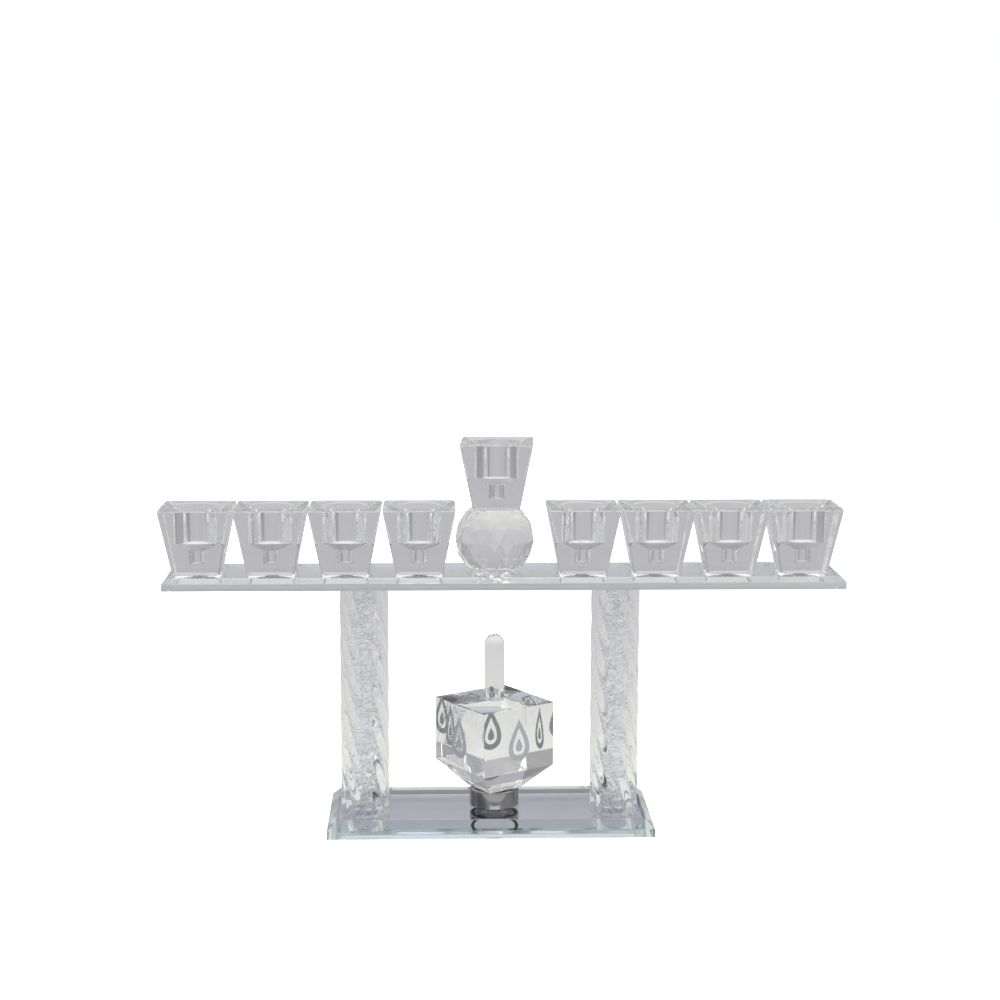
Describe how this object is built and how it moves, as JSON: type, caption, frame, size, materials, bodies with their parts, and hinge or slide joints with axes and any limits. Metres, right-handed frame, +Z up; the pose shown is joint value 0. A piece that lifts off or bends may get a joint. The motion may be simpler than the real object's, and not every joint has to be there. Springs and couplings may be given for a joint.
{
  "type": "menorah",
  "caption": "Clear crystal menorah: tapered candle cups on a mirrored bar, a raised middle light on a faceted ball, twisted columns with crushed crystal, and a dreidel that spins.",
  "frame": {"origin": "centre of the base's underside, on the surface that the menorah stands on", "axes": "+X along the bar towards the viewer's right, -Y towards the viewer, +Z up"},
  "size_m": [0.3419, 0.064, 0.1961],
  "materials": {
    "clear_crystal": "polished",
    "silvered_backing": "silvered",
    "crushed_crystal": "crushed",
    "bearing_steel": "polished",
    "seal_rubber": "matte",
    "cage_plastic": "moulded"
  },
  "bodies": {
    "stand": {"base_mirror": "silvered_backing", "base_plate": "clear_crystal", "column_left": "clear_crystal", "column_right": "clear_crystal", "crystal_chips_left": "crushed_crystal", "crystal_chips_right": "crushed_crystal", "bar_mirror": "silvered_backing", "bar_plate": "clear_crystal", "candle_cup_1": "clear_crystal", "candle_cup_2": "clear_crystal", "candle_cup_3": "clear_crystal", "candle_cup_4": "clear_crystal", "candle_cup_5": "clear_crystal", "candle_cup_6": "clear_crystal", "candle_cup_7": "clear_crystal", "candle_cup_8": "clear_crystal", "shamash_cup": "clear_crystal", "shamash_ball": "clear_crystal", "bearing_outer_ring": "bearing_steel", "bearing_seal_upper": "seal_rubber", "bearing_seal_lower": "seal_rubber"},
    "cage": {"bearing_cage": "cage_plastic", "bearing_ball_1": "bearing_steel", "bearing_ball_2": "bearing_steel", "bearing_ball_3": "bearing_steel", "bearing_ball_4": "bearing_steel", "bearing_ball_5": "bearing_steel", "bearing_ball_6": "bearing_steel", "bearing_ball_7": "bearing_steel", "bearing_ball_8": "bearing_steel"},
    "dreidel": {"dreidel_body": "clear_crystal", "dreidel_handle": "clear_crystal", "dreidel_spindle": "bearing_steel", "bearing_inner_ring": "bearing_steel"}
  },
  "joints": [
    {"name": "dreidel_spin", "type": "hinge", "parent": "stand", "child": "dreidel", "pos_m": [0.0023, -0.0015, 0.0132], "axis": [0, 0, 1], "continuous": true},
    {"name": "cage_spin", "type": "hinge", "parent": "stand", "child": "cage", "pos_m": [0.0023, -0.0015, 0.0132], "axis": [0, 0, 1], "continuous": true}
  ],
  "couplings": [
    {"joint": "cage_spin", "follows": "dreidel_spin", "ratio": 0.37952}
  ]
}
